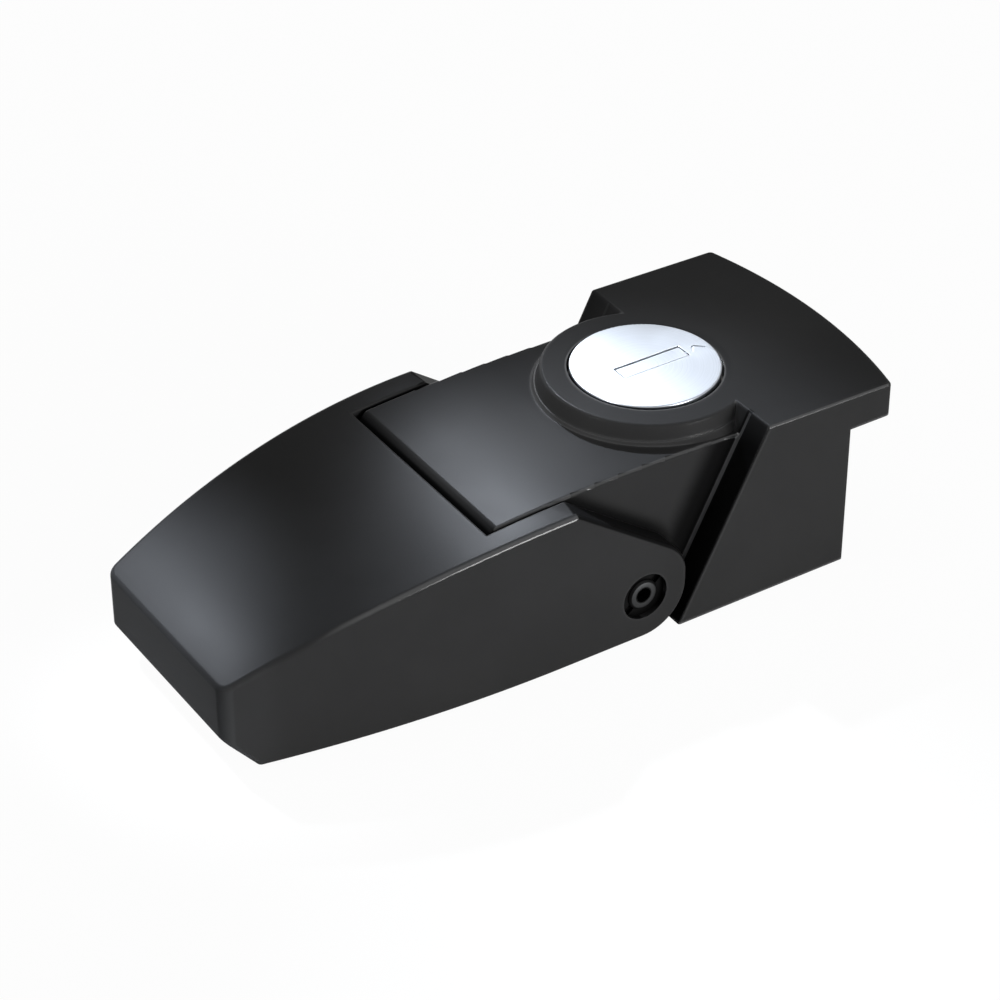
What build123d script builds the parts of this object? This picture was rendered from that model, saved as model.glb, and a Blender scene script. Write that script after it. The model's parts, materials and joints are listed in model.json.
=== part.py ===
"""Lever compression latch with a key lock, as separate named pieces.

Millimetres, +Z up. The origin is where the lock axis meets the flat base plane.
+X points along the housing to the overhanging lip, and the lever's tip is at -X.
"""
from build123d import *
from math import atan2, cos, degrees, hypot, radians, sin, sqrt, tan
import os

# ---- driving dimensions: body ------------------------------------------------------------
BODY_HALF = 22.0            # half width over the block and the lever's ears
PLATE_HALF = 17.3           # half width of the plate that lies in the lever's notch
TOP_AT_LOCK = 28.72         # top face height on the lock axis
TOP_SLOPE = 0.019           # fall of the top face per mm towards the lip
FLANGE_BOTTOM = 22.8
BLOCK_END_X = 20.75
LIP_CORNER_X = 27.6
LIP_CROWN_X = 30.66
SLANT_TOP_X = 5.8           # slanted face: where it meets the top, and the base
SLANT_BASE_X = -8.75
BOSS_FOOT_R = 16.2
BOSS_TOP_R = 15.2
BOSS_FOOT_Z = 25.4
CAST_EDGE_R = 0.5           # rounding of the casting's outer edges
END_EDGE_R = 0.9            # rounding of the plate's end
INNER_CORNER_R = 0.8        # cove between the web's side and the slanted face
CAVITY_TOP = 21.5
CAVITY_HALF = 14.2          # wide part of the chamber, round the cranks
WELL_HALF = 12.2            # narrower part, round the pawl
COVER_T = 1.6
MOUNT_DRILL_R = 2.1         # tapped M5
MOUNT_DEPTH = 9.0
MOUNT_HOLES = [(-33.0, 12.0), (8.0, 18.4)]

# ---- driving dimensions: hinge and linkage -----------------------------------------------
HINGE_X, HINGE_Z = -14.8, 7.5
PAWL_X, PAWL_Z = 13.4, 12.5
CRANK_R = 6.0
REST_ANGLE = 130.0          # crank angle at rest, from the line between the two pivots
SHAFT_R = 2.4
SHAFT_BORE_R = 1.15
PAWL_PIN_R = 2.0
LINK_PIN_R = 1.5
LINK_EYE_R = 2.5
RUN_FIT = 0.05              # radial clearance of every running fit
WEB_END_R = 28.0            # the plate's end and the notch are arcs about the hinge
NOTCH_R = 29.06
LINK_Y = (9.6, 11.6)
CRANK_Y = (11.9, 13.9)
PAWL_ARM_Y = (7.3, 9.3)
DETENT_Y = (5.8, 9.0)
DETENT_R = 4.9

# ---- driving dimensions: lever -----------------------------------------------------------
EAR_R = 7.3
EAR_INNER = 17.75
LEVER_BASE_Z = HINGE_Z - EAR_R
LEVER_CROWN_X, LEVER_CROWN_Z, LEVER_CROWN_R = -23.7, 25.75, 141.0
LEVER_TOP_X = -26.2         # where the top ends and the ear's sloping edge starts
EAR_SLOPE = 35.5
TIP_X = -79.3
CHIN_X, CHIN_RISE = -74.4, 1.14     # the underside lifts from here, for a finger
TIP_CORNER_R = 2.2
TAPER_X, TAPER_R = -28.0, 236.0
WALL = 3.0
LEVER_EDGE_R = 0.9
NOTCH_EDGE_R = 0.4
RIB_X = -47.0
COLLAR_R = 3.65
COLLAR_DEPTH = 1.7

# ---- driving dimensions: lock ------------------------------------------------------------
LOCK_FACE_R = 11.0
RECESS_R = 11.3
RECESS_Z = 25.4
BARREL_R = 8.9
BARREL_BOTTOM = 17.0
PLUG_R = 6.5
PLUG_HEAD_R = 8.4
CAP_BOTTOM, CAP_TOP = 27.3, 29.2
SLOT_X = (-4.6, 6.8)        # key slot in the face, a little off the axis
SLOT_HALF = 1.5
KEYWAY_HALF_X, KEYWAY_HALF_Y = 3.6, 1.1
CAM_PIN_R, CAM_THROW = 1.3, 4.7
SLIDE_Z = (12.6, 15.0)
SLIDE_HALF = 4.0
SLIDE_END_X = -41.5
FLAP_Y, FLAP_Z = 1.05, 28.75
WAFER_Z = (19.8, 21.2, 22.6, 24.0)

BOTH_SIDES = (-1, 1)
SLANT_MID_X = (SLANT_TOP_X + SLANT_BASE_X) / 2
PIVOT_LINE = degrees(atan2(PAWL_Z - HINGE_Z, PAWL_X - HINGE_X))
CRANK_DX = CRANK_R * cos(radians(REST_ANGLE + PIVOT_LINE))
CRANK_DZ = CRANK_R * sin(radians(REST_ANGLE + PIVOT_LINE))
CRANK_PIN = (HINGE_X + CRANK_DX, HINGE_Z + CRANK_DZ)
PAWL_ARM_PIN = (PAWL_X + CRANK_DX, PAWL_Z + CRANK_DZ)
CAM_PIN_AT = (CAM_THROW * cos(radians(45)), CAM_THROW * sin(radians(45)))


# ---- small helpers -----------------------------------------------------------------------
def box(x0, x1, y0, y1, z0, z1):
    """Box between two corners."""
    place = Pos((x0 + x1) / 2, (y0 + y1) / 2, (z0 + z1) / 2)
    return place * Box(x1 - x0, y1 - y0, z1 - z0)


def rod_y(x, z, r, y0, y1):
    """Cylinder along Y between two Y planes."""
    return Pos(x, (y0 + y1) / 2, z) * Rot(90, 0, 0) * Cylinder(r, y1 - y0)


def rod_z(x, y, r, z0, z1):
    """Cylinder along Z between two heights."""
    return Pos(x, y, (z0 + z1) / 2) * Cylinder(r, z1 - z0)


def prism_y(face, y0, y1):
    """Solid from a face drawn with X and Z as its axes, between two Y planes."""
    return extrude(Plane.XZ.offset(-y0) * face, amount=-(y1 - y0))


def sides(y_range, side):
    """Turn a distance range from the middle plane into a Y range on one side."""
    near, far = y_range
    return (near, far) if side > 0 else (-far, -near)


def bar_face(p, q, half):
    """Straight bar between two points in the X-Z plane, with square ends."""
    length = hypot(q[0] - p[0], q[1] - p[1])
    angle = degrees(atan2(q[1] - p[1], q[0] - p[0]))
    middle = Pos((p[0] + q[0]) / 2, (p[1] + q[1]) / 2)
    return middle * Rot(0, 0, angle) * Rectangle(length, 2 * half)


def top_height(x):
    """Height of the sloping top face at X."""
    return TOP_AT_LOCK - TOP_SLOPE * x


def write(name, shape):
    """Write one node."""
    export_step(shape, f"parts/{name}.step")


# ---- housing -----------------------------------------------------------------------------
def web_outline():
    """Side view of the plate and web: an arc about the hinge, then a shallow crown."""
    foot = HINGE_X - sqrt(WEB_END_R**2 - HINGE_Z**2)
    plate_z = 24.97
    plate_x = HINGE_X - sqrt(WEB_END_R**2 - (plate_z - HINGE_Z) ** 2)
    end = ThreePointArc((foot, 0), (HINGE_X - WEB_END_R, HINGE_Z), (plate_x, plate_z))
    crown = ThreePointArc((plate_x, plate_z), (-13.75, 26.03), (8, 25.1))
    rest = Polyline((8, 25.1), (8, 0), (foot, 0))
    return make_face(end + crown + rest)


def block_outline():
    """Side view of the full-width block with its slanted face."""
    return make_face(Polyline(
        (SLANT_BASE_X, 0), (BLOCK_END_X, 0), (BLOCK_END_X, top_height(BLOCK_END_X)),
        (SLANT_TOP_X, top_height(SLANT_TOP_X)), (SLANT_BASE_X, 0)))


def flange():
    """Top flange whose end is a convex arc that overhangs the block."""
    edge = ThreePointArc((LIP_CORNER_X, -BODY_HALF), (LIP_CROWN_X, 0), (LIP_CORNER_X, BODY_HALF))
    back = Polyline((LIP_CORNER_X, BODY_HALF), (12, BODY_HALF), (12, -BODY_HALF),
                    (LIP_CORNER_X, -BODY_HALF))
    slab = Pos(0, 0, FLANGE_BOTTOM) * extrude(make_face(edge + back), amount=8)
    return fillet(slab.edges().filter_by(Axis.Z).group_by(Axis.X)[-1], 0.9)


def boss():
    """Drafted round boss that carries the lock."""
    skirt = rod_z(0, 0, BOSS_FOOT_R, CAVITY_TOP, BOSS_FOOT_Z)
    height = 4.4
    draft = (BOSS_FOOT_R - BOSS_TOP_R) / (top_height(0) - BOSS_FOOT_Z)
    cone = Pos(0, 0, BOSS_FOOT_Z + height / 2) * Cone(
        BOSS_FOOT_R, BOSS_FOOT_R - draft * height, height)
    return skirt + cone


def boss_foot():
    """Small flare where the boss meets the plate."""
    return Pos(0, 0, BOSS_FOOT_Z + 0.6) * Cone(BOSS_FOOT_R + 0.6, BOSS_FOOT_R - 0.2, 1.0)


def housing_outside():
    """Outer form, with its cast edges rounded."""
    plate = prism_y(web_outline(), -PLATE_HALF, PLATE_HALF)
    end = plate.edges().filter_by(lambda e: e.center().Z > 24.5 and e.center().X < -36)
    plate = fillet(end, END_EDGE_R)
    long = plate.edges().filter_by(
        lambda e: e.center().Z > 24.2 and e.center().X < 7 and abs(e.center().Y) > 17)
    plate = fillet(long, CAST_EDGE_R)
    below_top = prism_y(make_face(Polyline(
        (-20, -1), (34, -1), (34, top_height(34)), (-20, top_height(-20)), (-20, -1))), -30, 30)
    upper = prism_y(block_outline(), -BODY_HALF, BODY_HALF) + flange() + boss()
    upper = upper & below_top
    rim = upper.edges().filter_by(
        lambda e: e.center().Z > 27.5 and abs(e.center().Z - top_height(e.center().X)) < 0.3)
    upper = fillet(rim, CAST_EDGE_R)
    body = plate + upper
    upright = body.edges().filter_by(
        lambda e: e.bounding_box().size.Z > 5 and abs(e.center().X - BLOCK_END_X) < 0.1)
    body = fillet(upright, CAST_EDGE_R)
    slanted = body.edges().filter_by(
        lambda e: e.bounding_box().size.Z > 5 and abs(e.center().X - SLANT_MID_X) < 1.5)
    outer = slanted.filter_by(lambda e: abs(abs(e.center().Y) - BODY_HALF) < 0.1)
    body = fillet(outer, 0.3)
    slanted = body.edges().filter_by(
        lambda e: e.bounding_box().size.Z > 5 and abs(e.center().X - SLANT_MID_X) < 1.5)
    inner = slanted.filter_by(lambda e: abs(abs(e.center().Y) - PLATE_HALF) < 0.1)
    return fillet(inner, INNER_CORNER_R) + boss_foot()


def housing():
    """Die-cast body with the chamber for the linkage and the lock's seat."""
    body = housing_outside()
    for x, y in MOUNT_HOLES:
        for side in BOTH_SIDES:
            body -= rod_z(x, side * y, MOUNT_DRILL_R, -1, MOUNT_DEPTH)
    # lock seat
    body -= rod_z(0, 0, RECESS_R, RECESS_Z, 40)
    body -= rod_z(0, 0, BARREL_R + 0.1, CAVITY_TOP - 1, RECESS_Z + 1)
    body -= box(-10.2, -8, -1.3, 1.3, 22.9, RECESS_Z + 0.1)
    # chamber, pawl well and pawl window
    body -= box(-26, 0, -CAVITY_HALF, CAVITY_HALF, COVER_T, CAVITY_TOP)
    body -= box(-1, 11.6, -WELL_HALF, WELL_HALF, COVER_T, CAVITY_TOP)
    body -= box(11, 19.3, -WELL_HALF, WELL_HALF, 2.6, CAVITY_TOP)
    body -= box(10.6, BLOCK_END_X + 1, -7.8, 7.8, -1, 17.0)
    # cover recess and its screw holes
    body -= box(-30.1, 11.7, -16.0, 16.0, -1, COVER_T)
    for x, y in COVER_SCREWS:
        body -= rod_z(x, y, 0.8, COVER_T - 0.1, 7)
    # slide channel and the core under it
    body -= box(-44, -25, -SLIDE_HALF - 0.2, SLIDE_HALF + 0.2, SLIDE_Z[0] - 0.2, SLIDE_Z[1] + 0.2)
    body -= box(-39.5, -31.5, -7, 7, -1, 9.6)
    # hinge bushes, pawl pin and its plug
    for side in BOTH_SIDES:
        y0, y1 = sides((CAVITY_HALF - 1, PLATE_HALF + 1), side)
        body -= rod_y(HINGE_X, HINGE_Z, 3.4, y0, y1)
    body -= rod_y(PAWL_X, PAWL_Z, PAWL_PIN_R, -17, 19.2)
    body -= rod_y(PAWL_X, PAWL_Z, 2.9, 19.2, 23)
    return body


COVER_SCREWS = [(x, side * y) for x, y in ((-28.0, 10.0), (8.6, 13.8)) for side in BOTH_SIDES]


def base_cover():
    """Flat plate that closes the chamber from below, with countersunk holes."""
    plate = box(-29.95, 11.55, -15.85, 15.85, 0, COVER_T)
    plate = fillet(plate.edges().filter_by(Axis.Z), 0.8)
    for x, y in COVER_SCREWS:
        plate -= rod_z(x, y, 1.1, 0, 2)
        plate -= Pos(x, y, 0.45) * Cone(1.9, 1.0, 0.9)
    for x in RIVET_X:
        plate -= rod_z(x, DETENT_MID, 0.7, 0, 2)
        plate -= rod_z(x, DETENT_MID, 1.3, 0, 0.6)
    return plate


def cover_screws():
    """Four countersunk screws."""
    screws = []
    for x, y in COVER_SCREWS:
        head = Pos(x, y, 0.05 + 0.42) * Cone(1.8, 0.98, 0.84)
        shank = rod_z(x, y, 0.79, 0.8, 6.6)
        drive = box(x - 1.2, x + 1.2, y - 0.22, y + 0.22, 0, 0.45)
        drive += box(x - 0.22, x + 0.22, y - 1.2, y + 1.2, 0, 0.45)
        screws.append(head + shank - drive)
    return Compound(screws)


DETENT_MID = (DETENT_Y[0] + DETENT_Y[1]) / 2
RIVET_X = (-21.4, -8.2)


def detent_spring():
    """Leaf that clicks the hinge cam, riveted to the cover at both ends."""
    low = COVER_T
    path = Polyline((-23, low), (-19.2, low), (-16.6, low + 0.22), (-13, low + 0.22),
                    (-10.4, low), (-6.6, low))
    top = Polyline((-6.6, low), (-6.6, low + 0.4), (-10.2, low + 0.4), (-12.9, low + 0.62),
                   (-16.7, low + 0.62), (-19.4, low + 0.4), (-23, low + 0.4), (-23, low))
    leaf = prism_y(make_face(path + top), DETENT_Y[0] + 0.1, DETENT_Y[1] - 0.1)
    for x in RIVET_X:
        leaf -= rod_z(x, DETENT_MID, 0.7, 0, 3)
    return leaf


def spring_rivets():
    """Two rivets through the leaf and the cover."""
    rivets = []
    for x in RIVET_X:
        shank = rod_z(x, DETENT_MID, 0.7, 0.1, COVER_T + 0.4)
        rivets.append(shank + rod_z(x, DETENT_MID, 1.3, 0.1, 0.6)
                      + rod_z(x, DETENT_MID, 1.2, COVER_T + 0.4, COVER_T + 0.8))
    return Compound(rivets)


def pivot_bushes():
    """Flanged bushes in the web's side walls."""
    bushes = []
    for side in BOTH_SIDES:
        y0, y1 = sides((CAVITY_HALF, PLATE_HALF), side)
        f0, f1 = sides((PLATE_HALF, PLATE_HALF + 0.3), side)
        b0, b1 = sides((CAVITY_HALF - 1, PLATE_HALF + 1), side)
        bush = rod_y(HINGE_X, HINGE_Z, 3.4, y0, y1) + rod_y(HINGE_X, HINGE_Z, 5.2, f0, f1)
        bushes.append(bush - rod_y(HINGE_X, HINGE_Z, SHAFT_R + RUN_FIT, b0, b1))
    return Compound(bushes)


def pawl_pin():
    """Fixed pin that the pawl turns on."""
    pin = rod_y(PAWL_X, PAWL_Z, PAWL_PIN_R, -16.9, 18.6)
    return chamfer(pin.edges(), 0.3)


def pin_grub_screw():
    """Slotted plug that closes the pawl pin's bore."""
    plug = rod_y(PAWL_X, PAWL_Z, 2.9, 19.2, 21.7)
    return plug - box(PAWL_X - 3, PAWL_X + 3, 20.8, 22, PAWL_Z - 0.4, PAWL_Z + 0.4)


# ---- lever and what turns with it --------------------------------------------------------
def lever_top(x):
    """Height of the lever's crown at X."""
    drop = LEVER_CROWN_R - sqrt(LEVER_CROWN_R**2 - (x - LEVER_CROWN_X) ** 2)
    return LEVER_CROWN_Z - drop


def taper_half(x):
    """Half width of the lever's plan at X, left of the straight part."""
    return BODY_HALF - TAPER_R + sqrt(TAPER_R**2 - (x - TAPER_X) ** 2)


def lever_outline():
    """Side view: crowned top, lifted chin, and the ear about the hinge.

    It runs past the tip, which the plan cuts off upright.
    """
    right, left = HINGE_X + EAR_R, TIP_X - 2
    end_z, tip_z = lever_top(LEVER_TOP_X), lever_top(left)
    corner_z = end_z - (right - LEVER_TOP_X) * tan(radians(EAR_SLOPE))
    chin_z = LEVER_BASE_Z + (CHIN_X - left) * CHIN_RISE
    mid = (left + LEVER_TOP_X) / 2
    top = ThreePointArc((left, tip_z), (mid, lever_top(mid)), (LEVER_TOP_X, end_z))
    ear = FilletPolyline((LEVER_TOP_X, end_z), (right, corner_z), (right, LEVER_BASE_Z),
                         (CHIN_X, LEVER_BASE_Z), radius=[6.8, EAR_R - 0.01])
    rest = Polyline((CHIN_X, LEVER_BASE_Z), (left, chin_z), (left, tip_z))
    return make_face(top + ear + rest)


def lever_plan(inset):
    """Plan: straight at the ears, then an arc that narrows to the rounded tip."""
    right, left = HINGE_X + EAR_R + 1, TIP_X + inset
    mid = (TAPER_X + left) / 2
    wide, middle, narrow = (half - inset for half in (BODY_HALF, taper_half(mid), taper_half(left)))
    lines = [Line((right, -wide), (right, wide)), Line((left, -narrow), (left, narrow))]
    for side in BOTH_SIDES:
        lines.append(ThreePointArc((left, side * narrow), (mid, side * middle), (TAPER_X, side * wide)))
        lines.append(Line((TAPER_X, side * wide), (right, side * wide)))
    plan = make_face(lines)
    plan = fillet(plan.vertices().group_by(Axis.X)[0], TIP_CORNER_R)
    return extrude(plan, amount=30)


def is_lever_rim(edge):
    """True for the edges round the two side faces and round the tip's face."""
    middle = edge.center()
    upright = edge.bounding_box().size.Z > 4 and middle.X < -25 and edge.length < 30
    crossing = abs(middle.Y) < 1 and middle.X > -74
    return not upright and not crossing


def is_notch_rim(edge):
    """True for the notch's three edges in the crown."""
    middle = edge.center()
    on_top = abs(middle.Z - lever_top(middle.X)) < 0.4
    return on_top and -45 < middle.X < LEVER_TOP_X and abs(middle.Y) < EAR_INNER + 0.1


def lever_outside():
    """Outer form of the lever with rounded edges."""
    body = prism_y(lever_outline(), -BODY_HALF - 1, BODY_HALF + 1) & lever_plan(0)
    return fillet(body.edges().filter_by(is_lever_rim), LEVER_EDGE_R)


def lever_hollow():
    """Space under the lever's skin, left of the rib."""
    mid = (TIP_X + WALL + RIB_X) / 2
    left = TIP_X + WALL + 0.2
    skin = ThreePointArc((left, lever_top(left) - WALL), (mid, lever_top(mid) - WALL),
                         (RIB_X, lever_top(RIB_X) - WALL))
    rest = Polyline((RIB_X, lever_top(RIB_X) - WALL), (RIB_X, -1), (-71, -1), (-71, 2.4),
                    (left, 8), (left, lever_top(left) - WALL))
    return prism_y(make_face(skin + rest), -BODY_HALF, BODY_HALF) & lever_plan(WALL)


def lever():
    """Die-cast channel lever with two ears."""
    hollow = lever_hollow()
    for x in (-55.0, -63.0):
        hollow -= box(x - 1, x + 1, -BODY_HALF, BODY_HALF, 5, 30)
    hollow -= box(-80, -40, -1, 1, 8, 30)
    notch = rod_y(HINGE_X, HINGE_Z, NOTCH_R, -EAR_INNER, EAR_INNER)
    body = lever_outside() - notch
    body = fillet(body.edges().filter_by(is_notch_rim), NOTCH_EDGE_R) - hollow
    for x, y in BUMPERS:
        body += rod_z(x, y, 3.4, 1.5, lever_top(x) - WALL)
        body -= rod_z(x, y, 2.2, 0, 5)
    body -= notch
    body -= box(-50, -42, -SLIDE_HALF - 0.6, SLIDE_HALF + 0.6, SLIDE_Z[0] - 0.6, SLIDE_Z[1] + 0.6)
    for side in BOTH_SIDES:
        y0, y1 = sides((EAR_INNER - 1, BODY_HALF + 1), side)
        body -= rod_y(HINGE_X, HINGE_Z, SHAFT_R, y0, y1)
        y0, y1 = sides((BODY_HALF - COLLAR_DEPTH, BODY_HALF + 1), side)
        body -= rod_y(HINGE_X, HINGE_Z, COLLAR_R, y0, y1)
    return body


BUMPERS = [(-68.6, -9.0), (-68.6, 9.0)]


def lever_bumpers():
    """Two soft buttons that the closed lever rests on."""
    return Compound([fillet(rod_z(x, y, 2.2, 0.05, 5).edges(), 0.3) for x, y in BUMPERS])


def pivot_shaft():
    """Through shaft with drilled ends."""
    shaft = rod_y(HINGE_X, HINGE_Z, SHAFT_R, -21.6, 21.6)
    shaft = chamfer(shaft.edges(), 0.3)
    for side in BOTH_SIDES:
        y0, y1 = sides((15.6, 23), side)
        shaft -= rod_y(HINGE_X, HINGE_Z, SHAFT_BORE_R, y0, y1)
    return shaft


def shaft_collars():
    """Retaining collars in the ears' counterbores, each with two spanner notches."""
    collars = []
    for side in BOTH_SIDES:
        y0, y1 = sides((BODY_HALF - COLLAR_DEPTH, BODY_HALF - COLLAR_DEPTH + 0.9), side)
        n0, n1 = sides((BODY_HALF - COLLAR_DEPTH + 0.35, BODY_HALF), side)
        collar = rod_y(HINGE_X, HINGE_Z, COLLAR_R, y0, y1)
        collar -= rod_y(HINGE_X, HINGE_Z, SHAFT_R, y0 - 1, y1 + 1)
        notch = Pos(HINGE_X, (n0 + n1) / 2, HINGE_Z) * Rot(0, -40, 0) * Box(9, n1 - n0, 1.2)
        collars.append(collar - notch)
    return Compound(collars)


def crank_plates():
    """Two cranks pressed on the shaft inside the chamber."""
    plates = []
    for side in BOTH_SIDES:
        y0, y1 = sides(CRANK_Y, side)
        plate = rod_y(HINGE_X, HINGE_Z, 4.6, y0, y1) + rod_y(*CRANK_PIN, 2.6, y0, y1)
        plate += prism_y(bar_face((HINGE_X, HINGE_Z), CRANK_PIN, 2.6), y0, y1)
        plate -= rod_y(HINGE_X, HINGE_Z, SHAFT_R, y0 - 1, y1 + 1)
        plates.append(plate - rod_y(*CRANK_PIN, LINK_PIN_R, y0 - 1, y1 + 1))
    return Compound(plates)


def crank_pins():
    """Pins that join the cranks to the links."""
    return Compound([rod_y(*CRANK_PIN, LINK_PIN_R, *sides((9.5, CRANK_Y[1]), side)) for side in BOTH_SIDES])


def detent_cam():
    """Disc on the shaft with a notch for the closed and the open lever."""
    cam = rod_y(HINGE_X, HINGE_Z, DETENT_R, *DETENT_Y)
    cam -= rod_y(HINGE_X, HINGE_Z, SHAFT_R, *DETENT_Y)
    for angle in (-90.0, -10.0):
        x = HINGE_X + 5.3 * cos(radians(angle))
        z = HINGE_Z + 5.3 * sin(radians(angle))
        cam -= rod_y(x, z, 1.2, *DETENT_Y)
    return cam


def drive_links():
    """Two bars that carry the cranks' motion to the pawl."""
    links = []
    for side in BOTH_SIDES:
        y0, y1 = sides(LINK_Y, side)
        link = prism_y(bar_face(CRANK_PIN, PAWL_ARM_PIN, 1.8), y0, y1)
        for x, z in (CRANK_PIN, PAWL_ARM_PIN):
            link += rod_y(x, z, LINK_EYE_R, y0, y1)
        for x, z in (CRANK_PIN, PAWL_ARM_PIN):
            link -= rod_y(x, z, LINK_PIN_R + RUN_FIT, y0 - 1, y1 + 1)
        links.append(link)
    return Compound(links)


# ---- pawl --------------------------------------------------------------------------------
NOSE_LENGTH = 11.8
NOSE_TOP, NOSE_BOTTOM, NOSE_HALF = 3.0, -2.2, 7.0
BUSH_R = 3.0
PAD = (21.0, 24.4)


def pawl():
    """Hook that swings up behind the keeper, with two arms for the links."""
    tip = PAWL_X + NOSE_LENGTH
    nose = box(PAWL_X, tip, -NOSE_HALF, NOSE_HALF, PAWL_Z + NOSE_BOTTOM, PAWL_Z + NOSE_TOP)
    nose = fillet(nose.edges().filter_by(Axis.Y).group_by(Axis.X)[-1], 0.8)
    body = nose + rod_y(PAWL_X, PAWL_Z, 4.2, -PAWL_ARM_Y[1], PAWL_ARM_Y[1])
    for side in BOTH_SIDES:
        y0, y1 = sides(PAWL_ARM_Y, side)
        body += rod_y(*PAWL_ARM_PIN, 2.5, y0, y1)
        body += prism_y(bar_face((PAWL_X, PAWL_Z), PAWL_ARM_PIN, 2.4), y0, y1)
    for side in BOTH_SIDES:
        y0, y1 = sides((PAWL_ARM_Y[0] - 0.1, PAWL_ARM_Y[1] + 1), side)
        body -= rod_y(*PAWL_ARM_PIN, LINK_PIN_R, y0, y1)
    body -= rod_y(PAWL_X, PAWL_Z, BUSH_R, -12, 12)
    return body - box(*PAD, -5.5, 5.5, PAWL_Z + NOSE_TOP - 0.8, PAWL_Z + NOSE_TOP + 1)


def pawl_bush():
    """Plain bearing between the pawl and its pin."""
    tube = rod_y(PAWL_X, PAWL_Z, BUSH_R, -PAWL_ARM_Y[1], PAWL_ARM_Y[1])
    return tube - rod_y(PAWL_X, PAWL_Z, PAWL_PIN_R + RUN_FIT, -12, 12)


def pawl_pins():
    """Pins that join the pawl's arms to the links."""
    return Compound([rod_y(*PAWL_ARM_PIN, LINK_PIN_R, *sides((PAWL_ARM_Y[0] - 0.1, LINK_Y[1] + 0.2), side))
                     for side in BOTH_SIDES])


def pawl_pad():
    """Wear pad let into the top of the nose."""
    return box(*PAD, -5.5, 5.5, PAWL_Z + NOSE_TOP - 0.8, PAWL_Z + NOSE_TOP)


# ---- lock --------------------------------------------------------------------------------
CLIP_Z = (20.4, 21.4)
SEAL_R, SEAL_T = 10.05, 0.55


def lock_barrel():
    """Fixed lock body, held from below by the clip."""
    body = rod_z(0, 0, BARREL_R, BARREL_BOTTOM, RECESS_Z + 0.5)
    body += rod_z(0, 0, RECESS_R - 0.2, RECESS_Z, CAP_BOTTOM - 0.1)
    body += box(-9.9, -8, -1.2, 1.2, 23, RECESS_Z)
    body -= rod_z(0, 0, PLUG_R + RUN_FIT, 10, 30)
    body -= rod_z(0, 0, PLUG_HEAD_R + 0.1, RECESS_Z + 0.1, 30)
    groove = rod_z(0, 0, 12, CLIP_Z[0] - 0.1, CLIP_Z[1] + 0.1)
    body -= groove - rod_z(0, 0, 7.9, 19, 23)
    seal_groove = rod_z(0, 0, SEAL_R + 0.65, RECESS_Z - 0.1, RECESS_Z + 1.15)
    return body - (seal_groove - rod_z(0, 0, SEAL_R - 0.65, 25, 27))


def barrel_clip():
    """Flat U clip that snaps into the barrel's groove."""
    clip = rod_z(0, 0, 10.2, *CLIP_Z) - rod_z(0, 0, 7.95, 19, 23)
    return clip - box(-12, 0, -7.95, 7.95, 19, 23)


def lock_seal():
    """O-ring under the barrel's flange."""
    return Pos(0, 0, RECESS_Z + SEAL_T + 0.02) * Torus(SEAL_R, SEAL_T)


def lock_plug():
    """Turning core with its keyway and wafer slots."""
    body = rod_z(0, 0, PLUG_R, BARREL_BOTTOM + 0.1, CAP_BOTTOM)
    body += rod_z(0, 0, PLUG_HEAD_R, RECESS_Z + 0.2, CAP_BOTTOM)
    body += box(-2, 2, -2, 2, 16.2, 18)
    body -= box(SLOT_X[0] - 0.1, SLOT_X[1] + 0.1, -1.7, 1.7, 25.7, 30)
    body -= box(-KEYWAY_HALF_X, KEYWAY_HALF_X, -KEYWAY_HALF_Y, KEYWAY_HALF_Y, 19, 26)
    for z in WAFER_Z:
        body -= box(-4.6, 4.6, -8, 8, z - 0.05, z + 0.85)
        body -= box(2.6, 4.2, 2.3, 5.6, z - 0.05, z + 0.85)
    return body - rod_z(0, 0, 1.2, 16, 18.8)


def plug_cap():
    """Polished round face with the key slot and an index mark."""
    cap = rod_z(0, 0, LOCK_FACE_R, CAP_BOTTOM, CAP_TOP)
    cap = fillet(cap.edges().group_by(Axis.Z)[-1], 0.25)
    cap -= box(*SLOT_X, -SLOT_HALF, SLOT_HALF, 27, 30)
    cap -= Pos((SLOT_X[0] + SLOT_X[1]) / 2, FLAP_Y, FLAP_Z) * Rot(0, 90, 0) * Cylinder(0.25, 13.2)
    for x, angle in ((8.05, 55), (9.25, -42)):
        cap -= Pos(x, -0.25, CAP_TOP) * Rot(0, 0, angle) * Box(1.9 if angle < 0 else 1.3, 0.3, 0.3)
    return cap


def key_flap():
    """Shutter that the key pushes down."""
    x0, x1 = SLOT_X[0] + 0.15, SLOT_X[1] - 0.15
    flap = box(x0, x1, -SLOT_HALF + 0.15, FLAP_Y, FLAP_Z - 0.2, CAP_TOP - 0.05)
    middle = Pos((x0 + x1) / 2, FLAP_Y, FLAP_Z) * Rot(0, 90, 0)
    flap += middle * Cylinder(0.38, x1 - x0)
    return flap - middle * Cylinder(0.25 + 0.03, x1 - x0 + 2)


def flap_pin():
    """Wire that the shutter turns on."""
    return Pos((SLOT_X[0] + SLOT_X[1]) / 2, FLAP_Y, FLAP_Z) * Rot(0, 90, 0) * Cylinder(0.25, 13.0)


def flap_spring():
    """Small leaf that holds the shutter shut."""
    outline = Polyline((1.46, 25.75), (1.58, 25.75), (1.58, 26.8), (1.34, 28.2), (1.22, 28.2),
                       (1.46, 26.78), (1.46, 25.75))
    face = Plane.YZ.offset(-2) * make_face(outline)
    return extrude(face, amount=6)


def wafers():
    """Four wafers at the height that the key sets them to."""
    plates = []
    for z in WAFER_Z:
        plate = box(-4.5, 4.5, -4.5, 4.5, z, z + 0.8)
        plate -= box(-3.7, 3.7, -1.25, 1.25, z - 1, z + 2)
        plates.append(plate - box(2.5, 5, 2.2, 5, z - 1, z + 2))
    return Compound(plates)


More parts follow.
